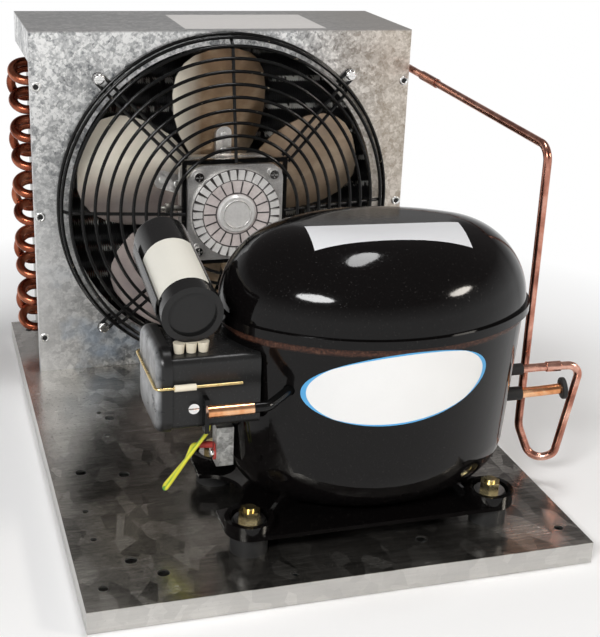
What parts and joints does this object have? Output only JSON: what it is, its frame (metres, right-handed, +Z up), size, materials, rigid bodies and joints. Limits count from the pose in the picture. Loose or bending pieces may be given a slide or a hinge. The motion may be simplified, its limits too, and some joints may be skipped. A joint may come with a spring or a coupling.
{
  "type": "refrigeration condensing unit",
  "caption": "Air-cooled refrigeration condensing unit: hermetic compressor, finned coil in a sheet shroud and a guarded fan on a folded base tray.",
  "frame": {"origin": "middle of the base tray's rest plane", "axes": "+X right, +Y to the rear (condenser side), +Z up"},
  "size_m": [0.3944, 0.507, 0.315],
  "materials": {
    "aluminium": "polished or as-cast",
    "black_plastic": "moulded",
    "black_shell": "gloss black enamel",
    "copper": "copper tube, bright drawn",
    "fins": "black coated fins",
    "galvanised": "hot-dip galvanised sheet with spangle",
    "rubber": "matt",
    "steel": "zinc plated"
  },
  "bodies": {
    "unit": {"bail_clip": "steel", "bail_sleeve": "black_plastic", "base_tray": "galvanised", "capacitor_bracket": "black_shell", "capacitor_end_cap": "black_plastic", "clamp_screw": "steel", "coil_end_plate_left": "galvanised", "coil_end_plate_right": "galvanised", "coil_tubes": "copper", "compressor_feet": "black_shell", "compressor_lower_shell": "black_shell", "compressor_upper_shell": "black_shell", "condenser_shroud": "galvanised", "discharge_connector": "black_shell", "discharge_line": "copper", "earth_lead": "black_plastic", "earth_screw": "steel", "earth_tab": "galvanised", "earth_terminal": "black_plastic", "fan_guard": "black_shell", "fin_pack": "fins", "foot_bolts": "steel", "foot_grommets": "rubber", "foot_nuts": "steel", "foot_sleeves": "galvanised", "foot_washers": "steel", "guard_core_frame": "black_shell", "guard_lugs": "black_shell", "guard_screws": "steel", "lead_clamp": "black_shell", "lead_sleeves": "black_plastic", "liquid_outlet": "copper", "motor_bearings": "steel", "motor_cover": "aluminium", "motor_housing": "steel", "motor_rear_cover": "aluminium", "motor_screws": "steel", "motor_side_studs": "steel", "motor_stator": "steel", "outlet_cap": "rubber", "overload_protector": "black_plastic", "pop_rivets": "steel", "process_connector": "black_shell", "process_tube": "copper", "return_bends_left": "copper", "return_bends_right": "copper", "start_capacitor": "black_plastic", "start_relay": "black_plastic", "suction_connector": "black_shell", "suction_plug": "rubber", "suction_tube": "copper", "terminal_cover": "black_plastic", "terminal_end_cover": "black_plastic"},
    "fan_rotor": {"fan_blades": "aluminium", "fan_hub": "aluminium", "fan_rivets": "steel", "hub_nut": "steel", "motor_rotor": "steel", "motor_shaft": "steel"}
  },
  "joints": [
    {"name": "fan_spin", "type": "hinge", "parent": "unit", "child": "fan_rotor", "pos_m": [0.004, 0.15, 0.1655], "axis": [0, 1, 0], "continuous": true}
  ]
}
